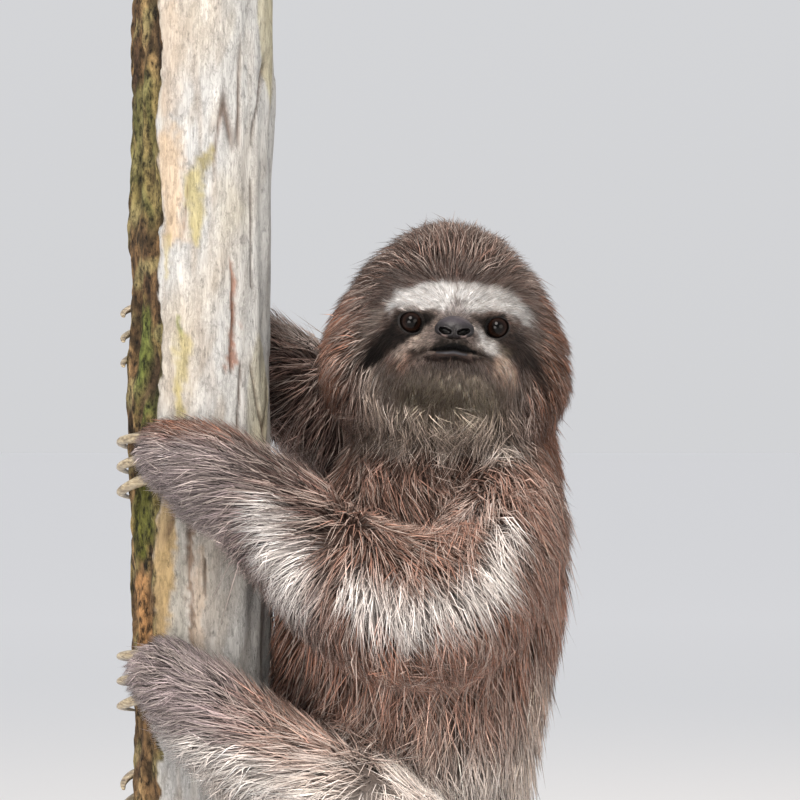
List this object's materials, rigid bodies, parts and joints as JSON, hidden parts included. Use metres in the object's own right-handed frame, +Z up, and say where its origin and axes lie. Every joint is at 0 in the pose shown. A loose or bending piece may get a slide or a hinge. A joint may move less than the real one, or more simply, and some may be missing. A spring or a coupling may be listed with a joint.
{
  "type": "three-toed sloth",
  "caption": "Still, life-size three-toed sloth hugging a short upright length of trunk, head turned to one side, on a plain display stand.",
  "frame": {"origin": "centre of the stand base's underside", "axes": "+Z up along the trunk, the sloth's back towards +X, its left side and its face towards -Y"},
  "size_m": [0.3, 0.2611, 0.668],
  "materials": {
    "coat": "coarse grey-brown fur with pale patches, a pale brow and dark eye stripes",
    "nose_skin": "moist dark grey bare skin",
    "eye": "wet dark brown",
    "claw": "horn, satin, yellowish brown",
    "bark": "smooth pale bark with lichen, cracks and a strip of brown rot",
    "base_wood": "dark oiled hardwood, satin",
    "rod_steel": "brushed round bar"
  },
  "bodies": {
    "root": {"head": "coat", "neck": "coat", "thorax": "coat", "abdomen": "coat", "rump": "coat", "tail": "coat", "left_upper_arm": "coat", "left_forearm": "coat", "left_hand": "coat", "left_thigh": "coat", "left_shin": "coat", "left_foot": "coat", "right_upper_arm": "coat", "right_forearm": "coat", "right_hand": "coat", "right_thigh": "coat", "right_shin": "coat", "right_foot": "coat", "nose": "nose_skin", "eye_left": "eye", "eye_right": "eye", "left_hand_claw_1": "claw", "left_hand_claw_2": "claw", "left_hand_claw_3": "claw", "left_foot_claw_1": "claw", "left_foot_claw_2": "claw", "left_foot_claw_3": "claw", "right_hand_claw_1": "claw", "right_hand_claw_2": "claw", "right_hand_claw_3": "claw", "right_foot_claw_1": "claw", "right_foot_claw_2": "claw", "right_foot_claw_3": "claw", "perch": "bark", "stand_base": "base_wood", "stand_rod_1": "rod_steel", "stand_rod_2": "rod_steel"}
  },
  "joints": []
}
